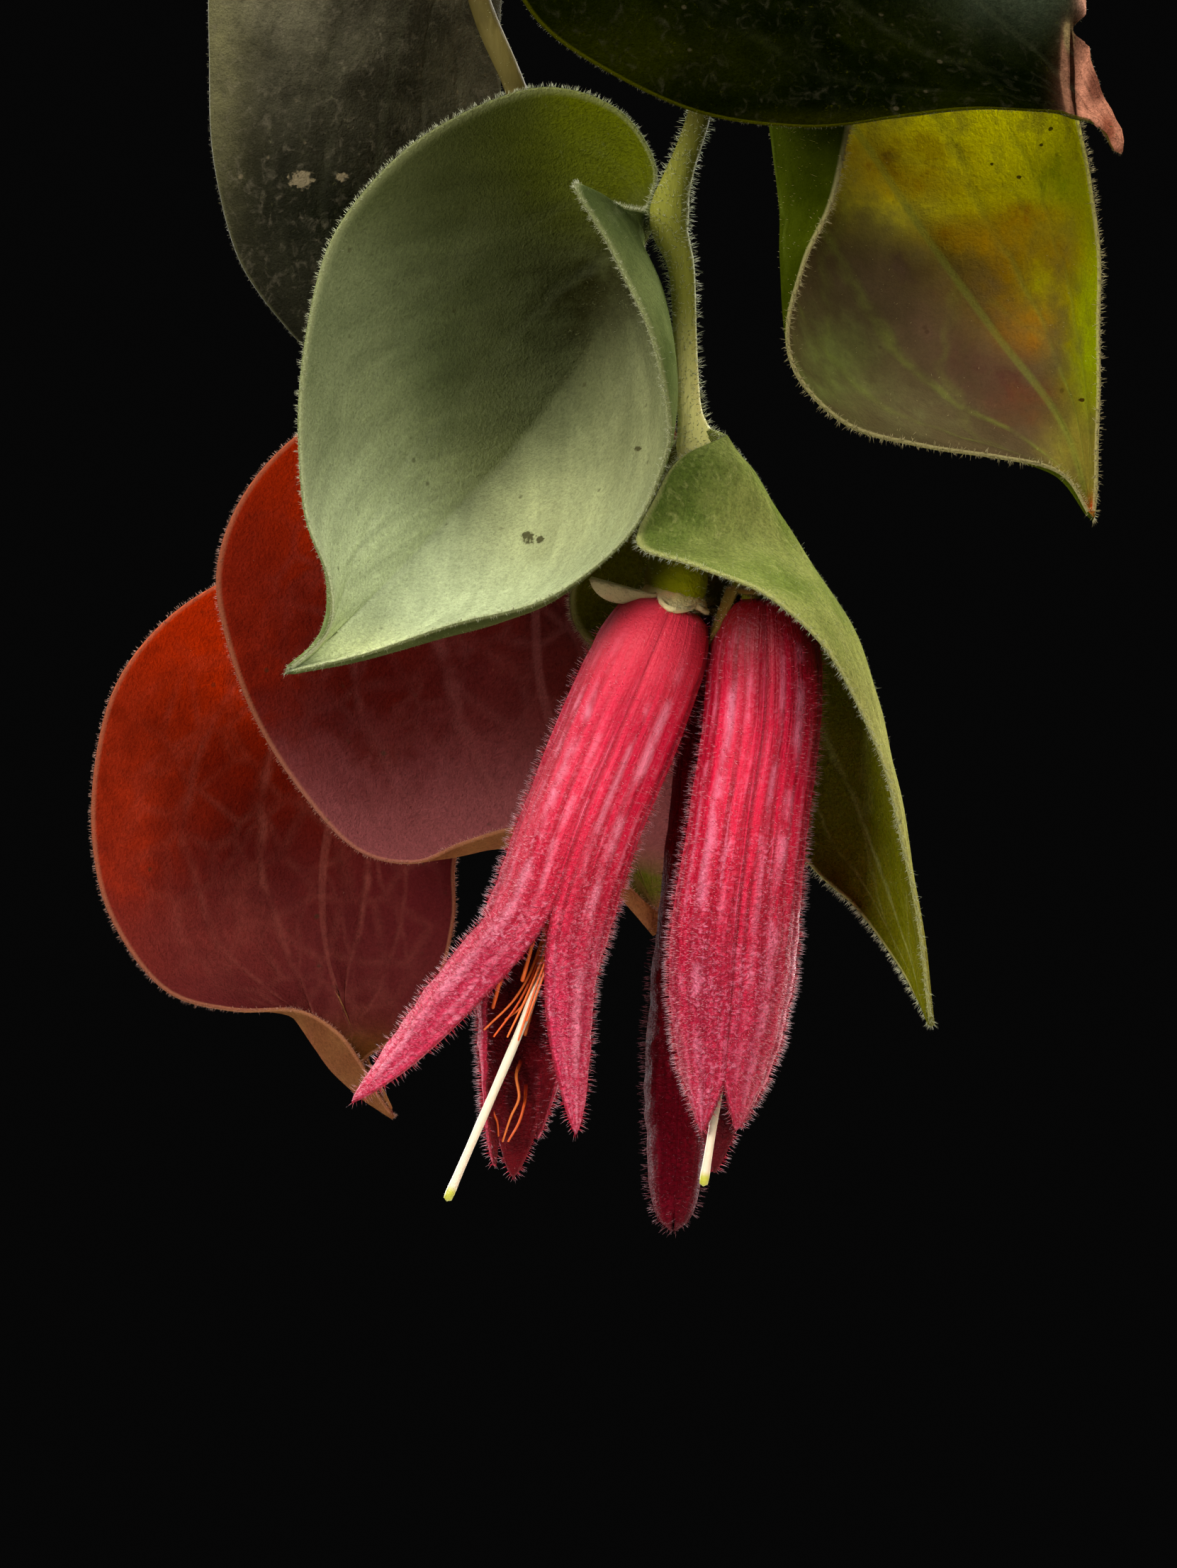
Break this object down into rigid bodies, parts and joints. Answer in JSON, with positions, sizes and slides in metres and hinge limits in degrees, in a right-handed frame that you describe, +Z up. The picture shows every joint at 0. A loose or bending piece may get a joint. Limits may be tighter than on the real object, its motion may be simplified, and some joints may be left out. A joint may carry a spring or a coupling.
{
  "type": "potted flowering plant",
  "caption": "House plant in a plain terracotta pot: arching, hanging stems with cupped heart-shaped leaves that end in drip tips, and furry crimson tube flowers.",
  "frame": {"origin": "centre of the pot's foot, on the surface it stands on", "axes": "+Z up out of the pot; the flowering branch hangs towards -X and is looked at along +Y"},
  "size_m": [0.3742, 0.2798, 0.2505],
  "materials": {
    "pot": "matte",
    "soil": "matte",
    "stem": "satin",
    "leaf_fresh": "satin",
    "leaf_green": "satin",
    "leaf_dark": "satin",
    "leaf_yellow": "satin",
    "leaf_red": "satin",
    "petal_furry": "matte",
    "petal_dark": "matte",
    "calyx": "matte",
    "style": "satin",
    "stamen": "satin"
  },
  "bodies": {
    "root": {"bud_far_calyx": "calyx", "bud_far_corolla": "petal_dark", "flower_bud_calyx": "calyx", "flower_bud_corolla": "petal_dark", "flower_closed_calyx": "calyx", "flower_closed_corolla": "petal_furry", "flower_closed_stamens": "stamen", "flower_closed_style": "style", "flower_far_calyx": "calyx", "flower_far_corolla": "petal_furry", "flower_open_calyx": "calyx", "flower_open_corolla": "petal_furry", "flower_open_stamens": "stamen", "flower_open_style": "style", "leaf_01": "leaf_green", "leaf_02": "leaf_green", "leaf_03": "leaf_green", "leaf_04": "leaf_green", "leaf_05": "leaf_green", "leaf_06": "leaf_green", "leaf_07": "leaf_green", "leaf_08": "leaf_green", "leaf_09": "leaf_green", "leaf_10": "leaf_green", "leaf_11": "leaf_green", "leaf_12": "leaf_green", "leaf_13": "leaf_green", "leaf_14": "leaf_green", "leaf_15": "leaf_green", "leaf_16": "leaf_green", "leaf_17": "leaf_green", "leaf_18": "leaf_green", "leaf_19": "leaf_green", "leaf_20": "leaf_green", "leaf_21": "leaf_green", "leaf_22": "leaf_green", "leaf_23": "leaf_green", "leaf_24": "leaf_green", "leaf_25": "leaf_green", "leaf_26": "leaf_green", "leaf_27": "leaf_green", "leaf_28": "leaf_green", "leaf_29": "leaf_green", "leaf_30": "leaf_green", "leaf_dark_back": "leaf_dark", "leaf_dark_upper": "leaf_dark", "leaf_front": "leaf_fresh", "leaf_hood": "leaf_fresh", "leaf_mottled": "leaf_yellow", "leaf_red_lower": "leaf_red", "leaf_red_upper": "leaf_red", "pot": "pot", "soil": "soil", "stem_arch_1": "stem", "stem_arch_2": "stem", "stem_arch_3": "stem", "stem_arch_4": "stem", "stem_arch_5": "stem", "stem_flowering": "stem", "stem_red_leaves": "stem"}
  },
  "joints": []
}
